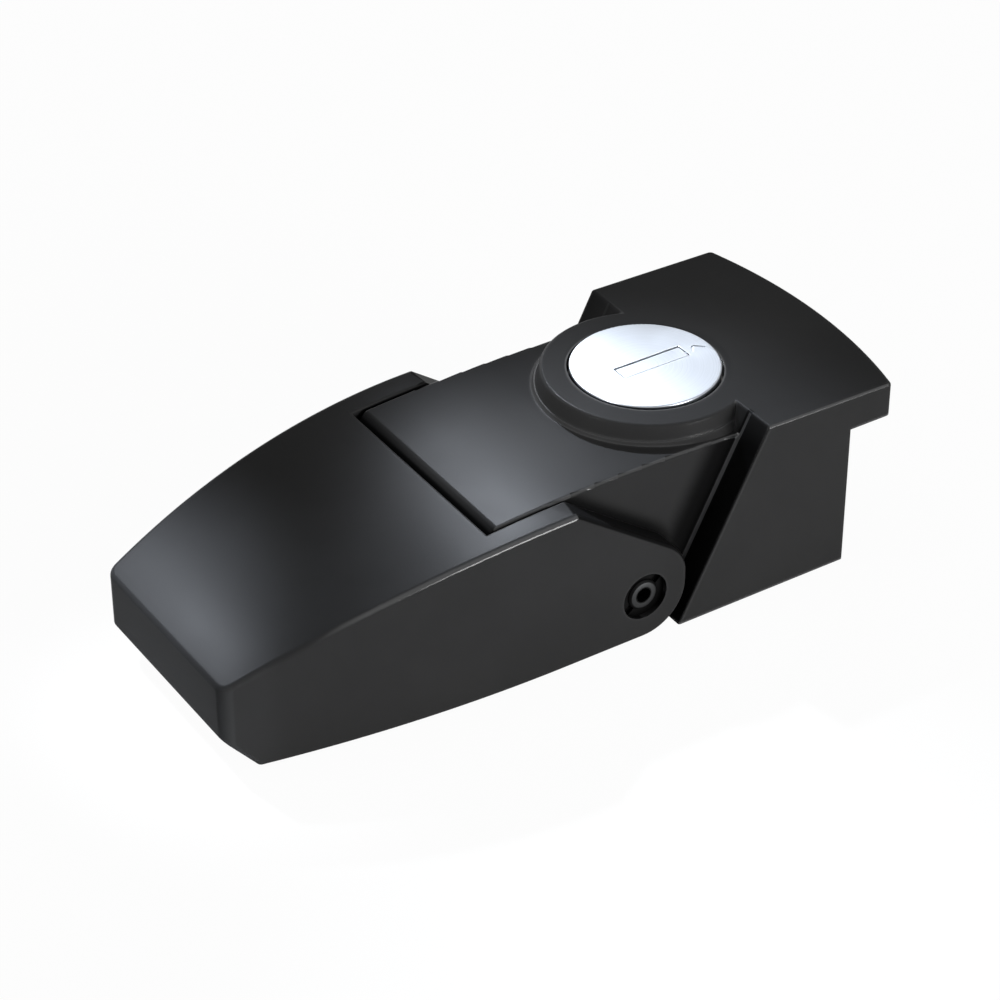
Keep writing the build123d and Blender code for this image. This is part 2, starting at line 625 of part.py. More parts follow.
def wafer_springs():
    """Coil that lifts each wafer, lying in its notch."""
    coils = []
    for z in WAFER_Z:
        path = Plane((3.4, 2.4, z + 0.4), z_dir=(0, 1, 0)) * Helix(0.5, 2.0, 0.24)
        start = path @ 0
        coil = sweep(Plane(start, z_dir=path % 0) * Circle(0.08), path=path, is_frenet=True)
        coils.append(coil)
    return Compound(coils)


def lock_cam():
    """Disc under the plug with the pin that drives the slide."""
    cam = rod_z(0, 0, 6.2, 15.2, 17.0)
    cam -= rod_z(0, 0, 3.2, 15, 16.2)
    cam -= box(-2, 2, -2, 2, 15, 18)
    return cam + rod_z(*CAM_PIN_AT, CAM_PIN_R, 12.7, 15.4)


def cam_screw():
    """Low-headed screw that holds the cam."""
    head = rod_z(0, 0, 3.1, 15.25, 16.2)
    drive = Pos(0, 0, 15.3) * extrude(RegularPolygon(1.25, 6), amount=0.6)
    return head + rod_z(0, 0, 1.2, 16.2, 18.6) - Pos(0, 0, -0.1) * drive


def lock_slide():
    """Bolt that the cam pushes into the lever's rib."""
    slot_x = CAM_PIN_AT[0]
    bolt = box(SLIDE_END_X, slot_x - 1.6, -SLIDE_HALF, SLIDE_HALF, *SLIDE_Z)
    bolt = chamfer(bolt.edges().filter_by(Axis.Z).group_by(Axis.X)[0], 0.8)
    bolt += box(slot_x - 4.2, slot_x + 3.4, -SLIDE_HALF, 6.4, *SLIDE_Z)
    return bolt - box(slot_x - 1.55, slot_x + 1.55, 1.2, 7, 12, 16)


NODES = [
    housing, base_cover, cover_screws, pivot_bushes, detent_spring, spring_rivets, pawl_pin,
    pin_grub_screw, lock_barrel, barrel_clip, lock_seal, lever, lever_bumpers, pivot_shaft,
    shaft_collars, crank_plates, crank_pins, detent_cam, drive_links, pawl, pawl_bush,
    pawl_pins, pawl_pad, lock_plug, plug_cap, key_flap, flap_pin, flap_spring, wafers,
    wafer_springs, lock_cam, cam_screw, lock_slide,
]

os.makedirs("parts", exist_ok=True)
for make in NODES:
    write(make.__name__, make())
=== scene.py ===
"""Looks for the lever compression latch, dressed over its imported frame.

Metres, the frame's own axes: +Z up out of the panel, the lever's tip at -X, the lip at +X.
"""
import json
import bpy
import numpy as np
from mathutils import Matrix, Vector


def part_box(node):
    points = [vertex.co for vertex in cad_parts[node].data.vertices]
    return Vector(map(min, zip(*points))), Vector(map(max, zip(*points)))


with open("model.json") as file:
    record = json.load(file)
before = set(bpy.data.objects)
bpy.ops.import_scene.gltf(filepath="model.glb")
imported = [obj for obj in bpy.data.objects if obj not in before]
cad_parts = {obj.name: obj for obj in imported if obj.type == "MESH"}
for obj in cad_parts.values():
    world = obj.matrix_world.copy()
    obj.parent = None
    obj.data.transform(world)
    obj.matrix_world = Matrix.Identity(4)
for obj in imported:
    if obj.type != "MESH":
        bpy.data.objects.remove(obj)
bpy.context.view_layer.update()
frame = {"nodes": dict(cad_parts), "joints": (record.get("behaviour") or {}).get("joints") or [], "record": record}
NODES = frame["nodes"]

# ---- places taken from the frame ---------------------------------------------------------
JOINTS = {joint["name"]: joint for joint in frame["joints"]}
HINGE = Vector(JOINTS["lever_hinge"]["pos_m"])
PAWL_AXIS = Vector(JOINTS["pawl_hinge"]["pos_m"])
LOCK_FACE = Vector((0, 0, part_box("plug_cap")[1].z))     # middle of the round lock face

# ---- sizes of the casting that its finish follows ----------------------------------------
PLATE_SIDE = 0.0173                         # half width of the plate in the lever's notch
CREST_X, CREST_Z = -0.01375, 0.02603        # highest line of the plate's top
PLATE_ARCH = 2.0                            # fall of that top, per squared distance from its crest
STEP_FOOT, STEP_LEAN = -0.00875, 0.5087     # the block's slanted step: X at Z 0, and X per Z
STEP_ACROSS = 1 / np.hypot(1, STEP_LEAN)
EDGE_IN, COVE_OUT = 0.00014, 0.00022        # middle of a rounded edge, and of a cove, off its face
LINE_REACH = 0.0003                         # half width of a painted highlight line
EDGE_ROOM = 0.0012                          # room kept clear of other painted highlights round such a line

# A band is (where a mask starts, where it is full). A span is a band for each of its two ends.
# Half widths and Y:
OFF_CENTRE = (0.0160, 0.0172)
BESIDE_PLATE = (0.0170, 0.0173)             # where the arms and the step begin
IN_NOTCH_WALLS = (0.0180, 0.0175)
PAST_NOTCH_RIM = (0.0186, 0.0190)
MIDLINE = (-0.001, 0.001)
# Along the latch, in X:
TIP_FADE = (-0.068, -0.058)
AT_TIP = (-0.070, -0.074)
ON_PLATE = (-0.0380, -0.0376)
PAST_HINGE = (-0.013, -0.012)
PLATE_SPAN = ((-0.0425, -0.0415), (0.006, 0.005))
NOTCH_SPAN = ((-0.0480, -0.0475), (-0.0270, -0.0280))
GAP_SPAN = ((-0.036, -0.0375), (-0.0445, -0.0435))
ARM_SPAN = ((-0.031, -0.029), (-0.004, -0.005))
# Heights, and depths under the plate's top:
OFF_FLOOR = (0.006, 0.009)
IN_GAP = (0.012, 0.016)
BY_CROWN = (0.0200, 0.0210)
STEP_TOP = (0.0285, 0.0245)
UNDER_TOP = (-0.0003, -0.0010)
# Distances from the pivot, and ahead of the slanted step:
PIVOT_RECESS = (0.0058, 0.0066)
TONED_RING = ((0.00125, 0.0014), (0.0021, 0.00195))
STEP_SHADE = ((0.0068, 0.0026), (-0.0006, -0.0002))
# Parts of a unit normal, or products of two parts:
ROUNDED, LEVEL = (0.27, 0.50), (0.25, 0.1)
TIP_LEAN, ARM_LEAN = (0.1, 0.4), (0.06, 0.16)
STEP_FACING, STEP_UPWARD = (-0.5, -0.7), (0.2, 0.3)

# ---- colours of the black coat -----------------------------------------------------------
COAT_LOW, COAT_HIGH = (0.0250, 0.0250, 0.0252, 1), (0.0272, 0.0272, 0.0274, 1)
# painted shade: the coat's darkest tone, mixed in where corners and slopes fall in shade
COAT_PAINTED_SHADE = (0.0050, 0.0050, 0.0051, 1)
# painted highlight along rounded edges
COAT_PAINTED_HIGHLIGHT = (0.050, 0.051, 0.052, 1)
# painted highlight in the step's coves
COAT_COVE_HIGHLIGHT = (0.085, 0.085, 0.086, 1)
COAT_ROUGHNESS = (0.295, 0.325)
# near-black off the pivot's ring: painted shade that widens the bore, and a darker face outside
OFF_RING_DARK = (0.004, 0.004, 0.004, 1)
WHITE = (1, 1, 1, 1)


# ---- node tree helpers -------------------------------------------------------------------
class Tree:
    """Short hand for placing and wiring nodes in one tree."""

    def __init__(self, tree):
        self.tree = tree

    def link(self, value, socket):
        """Wire an output to a socket, or set the socket to a plain value."""
        if isinstance(value, bpy.types.NodeSocket):
            self.tree.links.new(value, socket)
        else:
            socket.default_value = value

    def node(self, kind, inputs=None, **settings):
        """Add a node; inputs maps a socket's name or number to a value or an output."""
        made = self.tree.nodes.new(kind)
        for key, value in settings.items():
            setattr(made, key, value)
        for key, value in (inputs or {}).items():
            self.link(value, made.inputs[key])
        return made

    def math(self, operation, a, b=0.0, clamp=False):
        """One Math node."""
        made = self.node("ShaderNodeMath", {0: a, 1: b}, operation=operation, use_clamp=clamp)
        return made.outputs[0]

    def remap(self, value, low, high, to_low=0.0, to_high=1.0):
        """Smooth map of a value from one range to another."""
        made = self.node("ShaderNodeMapRange", {
            "Value": value, "From Min": low, "From Max": high,
            "To Min": to_low, "To Max": to_high}, interpolation_type="SMOOTHSTEP")
        return made.outputs["Result"]

    def mix(self, factor, a, b):
        """Mix of two colours."""
        return self.node("ShaderNodeMix", {0: factor, 6: a, 7: b}, data_type="RGBA").outputs[2]

    def noise(self, place, scale, detail=2.0, roughness=0.5):
        """Fractal noise in the middle of 0 and 1."""
        return self.node("ShaderNodeTexNoise", {
            "Vector": place, "Scale": scale,
            "Detail": detail, "Roughness": roughness}).outputs["Fac"]

    def parts(self, vector):
        """X, Y and Z of a vector."""
        return self.node("ShaderNodeSeparateXYZ", {0: vector}).outputs

    def away(self, a, b):
        """Distance from nought of a point given by two measures."""
        point = self.node("ShaderNodeCombineXYZ", {0: a, 1: b}).outputs[0]
        return self.node(
            "ShaderNodeVectorMath", {0: point}, operation="LENGTH").outputs["Value"]


def empty_tree(owner):
    """Cleared node tree of a material or a world."""
    owner.use_nodes = True
    owner.node_tree.nodes.clear()
    return Tree(owner.node_tree)


FLOAT, VECTOR = "NodeSocketFloat", "NodeSocketVector"


def group(name, inputs, outputs):
    """Start a node group that takes a place; inputs are (name, default), outputs (name, type)."""
    made = bpy.data.node_groups.new(name, "ShaderNodeTree")
    made.interface.new_socket("Place", in_out="INPUT", socket_type=VECTOR)
    for label, default in inputs:
        socket = made.interface.new_socket(label, in_out="INPUT", socket_type=FLOAT)
        socket.default_value = default
    for label, kind in outputs:
        made.interface.new_socket(label, in_out="OUTPUT", socket_type=kind)
    tree = Tree(made)
    return made, tree, tree.node("NodeGroupInput").outputs, tree.node("NodeGroupOutput").inputs


def fine_grain():
    """Grain of a sprayed or cast skin: a fine height and a slow, cloudy value.

    Size is the width of a grain in millimetres.
    """
    made, tree, given, out = group(
        "fine_grain", [("Size", 1.0), ("Depth", 0.5)], [("Height", FLOAT), ("Cloud", FLOAT)])
    scale = tree.math("DIVIDE", 1000.0, given["Size"])
    fine = tree.noise(given["Place"], scale, 3.0, 0.6)
    coarse = tree.noise(given["Place"], tree.math("MULTIPLY", scale, 0.22), 2.0, 0.5)
    height = tree.math("ADD", fine, tree.math("MULTIPLY", coarse, 0.6))
    tree.link(tree.math("MULTIPLY", height, given["Depth"]), out["Height"])
    cloud = tree.noise(given["Place"], 45.0, 4.0, 0.55)
    tree.link(tree.remap(cloud, 0.35, 0.65), out["Cloud"])
    return made


def wear_and_highlight_edges():
    """Mask of rounded edges and coves, where a narrowly and a widely softened normal part: edge wear on metals,
    and a painted highlight on the black coat.

    Reach is the width of the mask in metres, and Break says how patchy it is.
    """
    made, tree, given, out = group(
        "wear_and_highlight_edges", [("Reach", 0.0006), ("Break", 0.5)], [("Mask", FLOAT), ("Soft", VECTOR)])

    def softened(share):
        radius = tree.math("MULTIPLY", given["Reach"], share)
        return tree.node("ShaderNodeBevel", {"Radius": radius}, samples=6).outputs[0]

    narrow, wide = softened(0.45), softened(1.5)
    dot = tree.node("ShaderNodeVectorMath", {0: narrow, 1: wide}, operation="DOT_PRODUCT")
    turned = tree.remap(dot.outputs["Value"], 0.995, 0.88)
    patch = tree.noise(given["Place"], 900.0, 3.0, 0.6)
    broken = tree.mix(given["Break"], WHITE, tree.remap(patch, 0.2, 0.75, 1.0, 0.45))
    tree.link(tree.math("MULTIPLY", turned, broken, clamp=True), out["Mask"])
    tree.link(narrow, out["Soft"])
    return made


def painted_corner_shade():
    """Painted shade mask of deep corners: where the space within Reach is mostly closed off, above a height."""
    made, tree, given, out = group(
        "painted_corner_shade", [("Reach", 0.008), ("Above", 0.008)], [("Mask", FLOAT)])
    open_share = tree.node(
        "ShaderNodeAmbientOcclusion", {"Distance": given["Reach"]}, samples=12).outputs["AO"]
    painted_shade = tree.remap(open_share, 0.95, 0.58)
    height = tree.parts(given["Place"])["Z"]
    lifted = tree.remap(tree.math("SUBTRACT", height, given["Above"]), -0.002, 0.002)
    tree.link(tree.math("MULTIPLY", painted_shade, lifted), out["Mask"])
    return made


def turned_rings():
    """Concentric tool marks about the place's Z, one Pitch apart, in metres."""
    made, tree, given, out = group(
        "turned_rings", [("Pitch", 0.0002), ("Depth", 0.3)], [("Height", FLOAT), ("Tone", FLOAT)])
    split = tree.parts(given["Place"])
    step = tree.math("DIVIDE", tree.away(split["X"], split["Y"]), given["Pitch"])
    ring = tree.node("ShaderNodeCombineXYZ", {0: step}).outputs[0]
    rings = tree.noise(ring, 1.0, 2.0, 0.7)
    tree.link(tree.math("MULTIPLY", rings, given["Depth"]), out["Height"])
    tree.link(tree.remap(rings, 0.3, 0.7), out["Tone"])
    return made


def ground_lines():
    """Straight grinding or rolling lines along the place's X, one Pitch apart, in metres."""
    made, tree, given, out = group(
        "ground_lines", [("Pitch", 0.0001), ("Depth", 0.3)], [("Height", FLOAT), ("Tone", FLOAT)])
    stretched = tree.node(
        "ShaderNodeVectorMath", {0: given["Place"], 1: (0.03, 1.0, 1.0)}, operation="MULTIPLY")
    scale = tree.math("DIVIDE", 1.0, given["Pitch"])
    lines = tree.noise(stretched.outputs[0], scale, 3.0, 0.6)
    tree.link(tree.math("MULTIPLY", lines, given["Depth"]), out["Height"])
    tree.link(tree.remap(lines, 0.35, 0.65), out["Tone"])
    return made


GRAIN, EDGES, CORNER_SHADE = fine_grain(), wear_and_highlight_edges(), painted_corner_shade()
RINGS, LINES = turned_rings(), ground_lines()


def new_material(name, **plain):
    """Material with one Principled shader; plain numbers go straight on its sockets."""
    made = bpy.data.materials.new(name)
    tree = empty_tree(made)
    numbers = {key.replace("_", " "): value for key, value in plain.items()}
    shader = tree.node("ShaderNodeBsdfPrincipled", numbers)
    tree.node("ShaderNodeOutputMaterial", {"Surface": shader.outputs[0]})
    place = tree.node("ShaderNodeTexCoord").outputs["Object"]
    return made, tree, shader.inputs, place


def use(tree, shared, **inputs):
    """Place a shared group with its own values."""
    return tree.node("ShaderNodeGroup", inputs, node_tree=shared).outputs


def bump(tree, height, sockets, distance, soft):
    """Bump from a height, in metres of depth, over a softened normal."""
    made = tree.node("ShaderNodeBump", {
        "Strength": 1.0, "Distance": distance, "Height": height, "Normal": soft})
    tree.link(made.outputs[0], sockets["Normal"])


def shade(tone, factor=1.0, lift=0.0):
    """Opaque colour of a tone, scaled and lifted."""
    return (*(min(1.0, factor * part + lift) for part in tone), 1.0)


def worn_tone(tree, marks, edge, tone, dark, pale):
    """Colour of a metal: scaled by dark in its marks, and by pale (scale, lift) on its edges."""
    base = tree.mix(marks, shade(tone, dark), shade(tone))
    return tree.mix(edge["Mask"], base, shade(tone, *pale))


def cloudy(tree, grain, low, high):
    """Value that drifts between two numbers with the grain's cloud."""
    return tree.remap(grain["Cloud"], 0.0, 1.0, low, high)


# ---- finishes ----------------------------------------------------------------------------
class Spot:
    """Where a point of the latch lies and which way its surface looks, as separate values."""

    def __init__(self, tree, place, soft):
        self.tree = tree
        self.x, self.y, self.z = tree.parts(place)
        own = tree.node("ShaderNodeVectorTransform", {0: soft}, vector_type="NORMAL",
                        convert_from="WORLD", convert_to="OBJECT").outputs[0]
        self.face_x, face_y, self.face_z = tree.parts(own)
        self.half = tree.math("ABSOLUTE", self.y)
        self.face_half = tree.math("ABSOLUTE", face_y)

    def near(self, value, centre, reach):
        """One close to a value and nought beyond its reach."""
        away = self.tree.math("ABSOLUTE", self.tree.math("SUBTRACT", value, centre))
        return self.tree.remap(away, reach, reach * 0.6)

    def within(self, value, span):
        """One between the two ends of a span."""
        return self.all_of(*(self.tree.remap(value, *end) for end in span))

    def near_side(self, far_share):
        """One on the -Y side, and a smaller share on the other: painted shade and highlights are stronger on the
        -Y side.
        """
        return self.tree.remap(self.y, *MIDLINE, 1.0, far_share)

    def all_of(self, *masks):
        """Product of masks."""
        whole = masks[0]
        for mask in masks[1:]:
            whole = self.tree.math("MULTIPLY", whole, mask)
        return whole

    def any_of(self, *masks):
        """Greatest of masks."""
        whole = masks[0]
        for mask in masks[1:]:
            whole = self.tree.math("MAXIMUM", whole, mask)
        return whole

    def ahead_of_step(self):
        """Distance from the block's slanted step towards the lever."""
        plane = self.tree.math("ADD", self.tree.math("MULTIPLY", self.z, STEP_LEAN), STEP_FOOT)
        return self.tree.math("MULTIPLY", self.tree.math("SUBTRACT", plane, self.x), STEP_ACROSS)

    def above_plate(self):
        """Height above the plate's top, which is a shallow arch along the latch."""
        off_crest = self.tree.math("POWER", self.tree.math("SUBTRACT", self.x, CREST_X), 2.0)
        fall = self.tree.math("MULTIPLY", off_crest, PLATE_ARCH)
        return self.tree.math("SUBTRACT", self.tree.math("ADD", self.z, fall), CREST_Z)

    def highlight_rounds(self):
        """Roundings between top and side faces, for a painted highlight along them; fainter at the tip."""
        remap = self.tree.remap
        lean = remap(self.tree.math("MULTIPLY", self.face_half, self.face_z), *ROUNDED)
        arms, level = remap(self.half, *PAST_NOTCH_RIM), remap(self.face_x, *LEVEL)
        return self.all_of(lean, arms, level, remap(self.x, *TIP_FADE, 0.15, 1.0))

    def plate_edges(self):
        """Long upper edges of the plate, for a painted highlight line."""
        level = self.near(self.above_plate(), -EDGE_IN, LINE_REACH)
        beside = self.near(self.half, PLATE_SIDE - EDGE_IN, LINE_REACH)
        return self.all_of(level, beside, self.tree.remap(self.x, *ON_PLATE))

    def off_plate_edges(self):
        """Nought round the notch, and along the plate's edges, which plate_edges draws."""
        remap = self.tree.remap
        level = self.near(self.above_plate(), -0.0002, EDGE_ROOM)
        beside = self.near(self.half, PLATE_SIDE - 0.0002, EDGE_ROOM)
        edges = self.all_of(level, beside, self.within(self.x, PLATE_SPAN))
        inside = remap(self.half, *PAST_NOTCH_RIM[::-1])
        crown = remap(self.z, *BY_CROWN)
        notch = self.all_of(self.within(self.x, NOTCH_SPAN), inside, crown)
        return self.tree.math("SUBTRACT", 1.0, self.any_of(edges, notch))

    def notch_depths(self):
        """Lower part of the plate's end and of the notch round it, out of the light."""
        remap = self.tree.remap
        deep = self.all_of(remap(self.above_plate(), *UNDER_TOP), self.within(self.x, GAP_SPAN))
        return self.all_of(deep, remap(self.half, *IN_NOTCH_WALLS), remap(self.z, *IN_GAP))

    def tip_corners(self):
        """Upright rounded corners at the lever's tip, for a fainter painted highlight."""
        ahead = self.tree.math("MULTIPLY", self.face_x, -1.0)
        lean = self.tree.remap(self.tree.math("MULTIPLY", self.face_half, ahead), *TIP_LEAN)
        return self.all_of(lean, self.tree.remap(self.x, *AT_TIP))

    def beyond_pivot(self):
        """One outside the recess round the lever's pivot, little inside it."""
        away = self.tree.away(self.tree.math("SUBTRACT", self.x, HINGE.x),
                              self.tree.math("SUBTRACT", self.z, HINGE.z))
        return self.tree.remap(away, *PIVOT_RECESS, 0.15, 1.0)

    def arm_slopes(self):
        """Sloping tops of the lever's arms, beside the plate, which are painted in shade."""
        remap = self.tree.remap
        lean = remap(self.tree.math("MULTIPLY", self.face_x, self.face_z), *ARM_LEAN)
        return self.all_of(lean, remap(self.half, *BESIDE_PLATE), self.within(self.x, ARM_SPAN))

    def step_faces(self):
        """The slanted step beside the plate, and the foot of the plate's side before it, which are painted in
        shade.
        """
        remap = self.tree.remap
        lean = self.all_of(remap(self.face_x, *STEP_FACING), remap(self.face_z, *STEP_UPWARD))
        beside = self.all_of(remap(self.half, *BESIDE_PLATE), remap(self.x, *PAST_HINGE))
        strip = self.all_of(lean, beside, remap(self.z, *STEP_TOP, 0.5, 1.0))
        side = self.near(self.half, PLATE_SIDE, 2 * LINE_REACH)
        foot = self.all_of(side, self.within(self.ahead_of_step(), STEP_SHADE))
        return self.any_of(strip, foot)

    def step_cove_highlights(self):
        """Coves where the slanted step meets the plate's sides, for a painted highlight line; weaker on the +Y
        side.
        """
        beside = self.near(self.half, PLATE_SIDE + COVE_OUT, LINE_REACH)
        before = self.near(self.ahead_of_step(), COVE_OUT, LINE_REACH)
        off_floor = self.tree.remap(self.z, *OFF_FLOOR)
        return self.all_of(beside, before, off_floor, self.near_side(0.2))


def black_coat():
    """Satin black powder coat: fine grain, cloudy gloss, painted shade in corners and on slopes, and painted
    highlights along rounded edges and coves.
    """
    made, tree, sockets, place = new_material(
        "black_coat", IOR=1.3, Specular_IOR_Level=0.022, Coat_IOR=1.7, Coat_Roughness=0.15)
    grain = use(tree, GRAIN, Place=place, Size=0.22, Depth=1.0)
    edge = use(tree, EDGES, Place=place, Reach=0.0005, Break=0.35)
    corner_shade = use(tree, CORNER_SHADE, Place=place, Reach=0.003, Above=0.010)
    spot = Spot(tree, place, edge["Soft"])

    # Painted highlights: rounded edges, the plate's edges and the tip's corners are lightened in colour; all but
    # the tip's corners also get clear coat.
    round_highlights = spot.any_of(spot.highlight_rounds(), tree.math("MULTIPLY", spot.plate_edges(), 0.75))
    edge_highlight = tree.math("MULTIPLY", edge["Mask"], spot.off_plate_edges())
    shine = spot.any_of(edge_highlight, tree.math("MULTIPLY", round_highlights, 0.55))
    shine = spot.all_of(shine, spot.beyond_pivot())
    tree.link(shine, sockets["Coat Weight"])

    # Painted shade: deep corners, the slanted step, the arms' slopes and the notch's depths, mostly on the -Y
    # side.
    near_side = spot.near_side(0.1)
    outer = tree.remap(spot.half, *OFF_CENTRE, 0.1, 1.0)
    painted_shade = spot.any_of(
        spot.all_of(corner_shade["Mask"], outer, near_side),
        spot.all_of(spot.step_faces(), near_side), spot.arm_slopes(), spot.notch_depths())
    painted_highlight = spot.any_of(shine, tree.math("MULTIPLY", spot.tip_corners(), 0.6))
    colour = tree.mix(painted_shade, tree.mix(grain["Cloud"], COAT_LOW, COAT_HIGH), COAT_PAINTED_SHADE)
    colour = tree.mix(painted_highlight, colour, COAT_PAINTED_HIGHLIGHT)
    # Painted highlight line along the coves of the slanted step.
    colour = tree.mix(spot.step_cove_highlights(), colour, COAT_COVE_HIGHLIGHT)
    tree.link(colour, sockets["Base Color"])
    tree.link(cloudy(tree, grain, *COAT_ROUGHNESS), sockets["Roughness"])
    bump(tree, grain["Height"], sockets, 0.000006, edge["Soft"])
    return made


def turned_metal(name, tone, rough, at, turn, pitch=0.00022, dark_off_ring=False):
    """Metal with tool marks round an axis along Z once turned; if asked, near-black off one ring about the axis:
    painted shade that widens the bore inside it, and a darker face outside it.
    """
    made, tree, sockets, place = new_material(name, Metallic=1.0)
    moved = tree.node(
        "ShaderNodeVectorMath", {0: place, 1: tuple(at)}, operation="SUBTRACT").outputs[0]
    about = tree.node("ShaderNodeMapping", {"Vector": moved, "Rotation": turn}).outputs[0]
    rings = use(tree, RINGS, Place=about, Pitch=pitch, Depth=1.0)
    grain = use(tree, GRAIN, Place=place, Size=0.3, Depth=0.4)
    edge = use(tree, EDGES, Place=place, Reach=0.0002, Break=0.5)
    colour = worn_tone(tree, rings["Tone"], edge, tone, 0.86, (1.25, 0.02))
    # Painted shade inside the ring makes the bore look wider; outside the ring the face is near-black too.
    if dark_off_ring:
        split = tree.parts(about)
        radius = tree.away(split["X"], split["Y"])
        ring_band = tree.math("MULTIPLY", *(tree.remap(radius, *end) for end in TONED_RING))
        colour = tree.mix(ring_band, OFF_RING_DARK, colour)
    tree.link(colour, sockets["Base Color"])
    tree.link(cloudy(tree, grain, rough * 0.9, rough * 1.15), sockets["Roughness"])
    height = tree.math("ADD", rings["Height"], grain["Height"])
    bump(tree, height, sockets, 0.000005, edge["Soft"])
    return made


def ground_metal(name, tone, rough, pitch=0.00012):
    """Metal with straight grinding lines."""
    made, tree, sockets, place = new_material(name, Metallic=1.0)
    lines = use(tree, LINES, Place=place, Pitch=pitch, Depth=1.0)
    grain = use(tree, GRAIN, Place=place, Size=0.5, Depth=0.2)
    edge = use(tree, EDGES, Place=place, Reach=0.0002, Break=0.5)
    colour = worn_tone(tree, lines["Tone"], edge, tone, 0.8, (1.2, 0.04))
    tree.link(colour, sockets["Base Color"])
    tree.link(cloudy(tree, grain, rough * 0.85, rough * 1.2), sockets["Roughness"])
    bump(tree, lines["Height"], sockets, 0.000006, edge["Soft"])
    return made


def cast_metal(name, tone, rough, size=0.6, depth=0.00002):
    """Plated casting or sintered part with a speckled skin."""
    made, tree, sockets, place = new_material(name, Metallic=1.0)
    grain = use(tree, GRAIN, Place=place, Size=size, Depth=1.0)
    edge = use(tree, EDGES, Place=place, Reach=0.0003, Break=0.6)
    colour = worn_tone(tree, grain["Cloud"], edge, tone, 0.78, (1.15, 0.05))
    tree.link(colour, sockets["Base Color"])
    tree.link(cloudy(tree, grain, rough * 0.85, rough * 1.2), sockets["Roughness"])
    bump(tree, grain["Height"], sockets, depth, edge["Soft"])
    return made


def moulded(name, low, high, rough, size=0.4):
    """Moulded plastic or rubber with a faint spark-eroded skin, between two colours."""
    made, tree, sockets, place = new_material(name, Specular_IOR_Level=0.35)
    grain = use(tree, GRAIN, Place=place, Size=size, Depth=1.0)
    edge = use(tree, EDGES, Place=place, Reach=0.0003, Break=0.5)
    tree.link(tree.mix(grain["Cloud"], low, high), sockets["Base Color"])
    tree.link(cloudy(tree, grain, rough * 0.9, rough * 1.1), sockets["Roughness"])
    bump(tree, grain["Height"], sockets, 0.00001, edge["Soft"])
    return made


def grey(value, warm=0.0):
    """Grey with a little warmth, as a colour."""
    return (value * (1 + warm), value, value * (1 - warm), 1.0)


UPRIGHT, ALONG_Y = (0, 0, 0), (np.pi / 2, 0, 0)         # turns that bring a tool's axis onto Z
FINISH = {
    "black_coat": black_coat(),
    "dark_steel": turned_metal(
        "dark_steel", (0.040, 0.041, 0.042), 0.5, HINGE, ALONG_Y, dark_off_ring=True),
    "dark_steel_plug": turned_metal(
        "dark_steel_plug", (0.045, 0.046, 0.048), 0.38, PAWL_AXIS, ALONG_Y),
    "bright_face": turned_metal(
        "bright_face", (0.39, 0.415, 0.45), 0.32, LOCK_FACE, UPRIGHT, 0.00018),
    "nickel_casting": cast_metal("nickel_casting", (0.58, 0.56, 0.53), 0.34),
    "zinc_plate": ground_metal("zinc_plate", (0.62, 0.63, 0.65), 0.34, 0.0003),
    "hard_steel": ground_metal("hard_steel", (0.45, 0.45, 0.46), 0.26),
    "spring_steel": ground_metal("spring_steel", (0.30, 0.31, 0.33), 0.24, 0.0001),
    "bronze": cast_metal("bronze", (0.55, 0.36, 0.17), 0.42, 0.35, 0.00004),
    "lock_brass": ground_metal("lock_brass", (0.78, 0.60, 0.28), 0.24),
    "slide_plastic": moulded("slide_plastic", grey(0.70, 0.03), grey(0.78, 0.03), 0.42),
    "rubber": moulded("rubber", grey(0.018), grey(0.028), 0.62, 0.25),
}
OWN_FINISH = {"pin_grub_screw": "dark_steel_plug"}      # its tool marks run round its own axis


# ---- smooth shading for the frame's own meshes -------------------------------------------
WELD = 0.000002
SHARP_TURN, STEEP_TURN = np.radians(38), np.radians(62)
BROAD_FACE = 1e-7                           # square metres; finer faces belong to a rounding


def smoothing():
    """Geometry group: joins loose triangles and shades smooth, but not across sharp edges."""
    made = bpy.data.node_groups.new("smooth_by_turn", "GeometryNodeTree")
    made.interface.new_socket("Geometry", in_out="INPUT", socket_type="NodeSocketGeometry")
    made.interface.new_socket("Geometry", in_out="OUTPUT", socket_type="NodeSocketGeometry")
    tree = Tree(made)

    def above(value, limit):
        return tree.node(
            "FunctionNodeCompare", {0: value, 1: limit}, operation="GREATER_THAN").outputs[0]

    def shaded(geometry, smooth, **where):
        return tree.node("GeometryNodeSetShadeSmooth", {
            "Geometry": geometry, "Shade Smooth": smooth, **where},
            domain="EDGE" if where else "FACE").outputs[0]

    given = tree.node("NodeGroupInput").outputs[0]
    joined = tree.node("GeometryNodeMergeByDistance", {"Geometry": given, "Distance": WELD})
    turn = tree.node("GeometryNodeInputMeshEdgeAngle").outputs["Unsigned Angle"]
    area = tree.node("GeometryNodeInputMeshFaceArea").outputs[0]
    both = tree.node("FunctionNodeBooleanMath", {
        0: above(turn, SHARP_TURN), 1: above(area, BROAD_FACE)}, operation="AND").outputs[0]
    sharp = tree.node("FunctionNodeBooleanMath", {
        0: both, 1: above(turn, STEEP_TURN)}, operation="OR").outputs[0]
    smooth = shaded(joined.outputs[0], True)
    tree.node("NodeGroupOutput", {0: shaded(smooth, False, Selection=sharp)})
    return made


SMOOTHING = smoothing()
SLOT_OF = {part["node"]: part["material_slot"] for part in frame["record"]["subparts"]}
for name, piece in NODES.items():
    for slot in piece.material_slots:
        slot.material = FINISH[OWN_FINISH.get(name, SLOT_OF[name])]
    smooth = piece.modifiers.new("smooth", "NODES")
    smooth.node_group = SMOOTHING
    weight = piece.modifiers.new("weight", "WEIGHTED_NORMAL")
    weight.mode = "FACE_AREA"
    weight.weight = 80
    weight.keep_sharp = True


